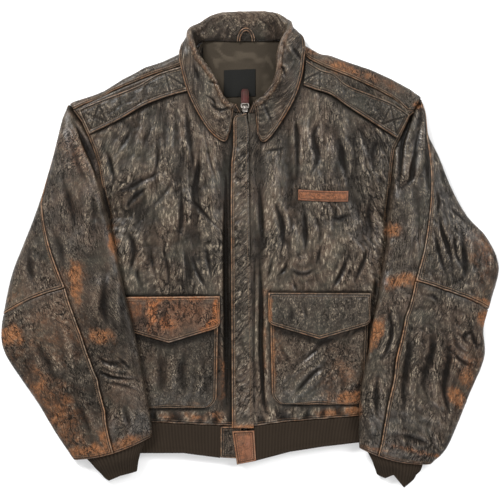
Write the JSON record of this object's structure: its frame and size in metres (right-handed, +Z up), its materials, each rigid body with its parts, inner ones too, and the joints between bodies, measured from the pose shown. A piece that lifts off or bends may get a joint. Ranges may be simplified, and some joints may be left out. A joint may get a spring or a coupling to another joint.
{
  "type": "leather jacket",
  "caption": "Worn leather flight jacket laid flat and face up, with a fold-down collar, shoulder straps, flap pockets and knit cuffs and waistband.",
  "frame": {"origin": "centre of the jacket's box in plan, on the surface it lies on", "axes": "+Z up from the surface it lies on, +X towards the wearer's left side, +Y from the hem to the collar"},
  "size_m": [0.7954, 0.7612, 0.0508],
  "materials": {
    "body_leather": "crumpled dark brown leather, worn glossy on the crests",
    "sleeve_leather": "crumpled dark brown leather, rubbed to orange tan in patches",
    "trim_leather": "dark brown leather with rubbed tan edges",
    "worn_leather": "leather rubbed down to orange tan",
    "knit": "dark brown ribbed wool knit",
    "lining": "plain brown cotton lining",
    "label": "plain black woven label",
    "zip_tape": "dark woven zip tape",
    "steel": "dulled steel",
    "pull_leather": "dark red brown leather"
  },
  "bodies": {
    "jacket": {"back": "body_leather", "front_right": "body_leather", "front_left": "body_leather", "sleeve_right_inner": "sleeve_leather", "sleeve_right_upper": "sleeve_leather", "sleeve_right_lower": "sleeve_leather", "sleeve_left_inner": "sleeve_leather", "sleeve_left_upper": "sleeve_leather", "sleeve_left_lower": "sleeve_leather", "cuff_right": "knit", "cuff_left": "knit", "waistband": "knit", "waist_tab_right": "trim_leather", "wind_flap": "trim_leather", "wind_flap_tab": "worn_leather", "pocket_right": "trim_leather", "pocket_left": "trim_leather", "pocket_flap_right": "worn_leather", "pocket_flap_left": "trim_leather", "epaulette_right": "trim_leather", "epaulette_left": "trim_leather", "collar": "trim_leather", "hanger_loop": "trim_leather", "name_strip": "worn_leather", "back_lining": "lining", "label": "label", "zip_tape": "zip_tape", "zip_slider": "steel", "slider_bridge": "steel"},
    "zip_pull": {"pull_link": "steel", "pull_tab": "pull_leather"}
  },
  "joints": [
    {"name": "pull_swing", "type": "hinge", "parent": "jacket", "child": "zip_pull", "pos_m": [-0.00665, 0.2268, 0.024], "axis": [1, 0, 0], "range_deg": [0, 160]}
  ]
}
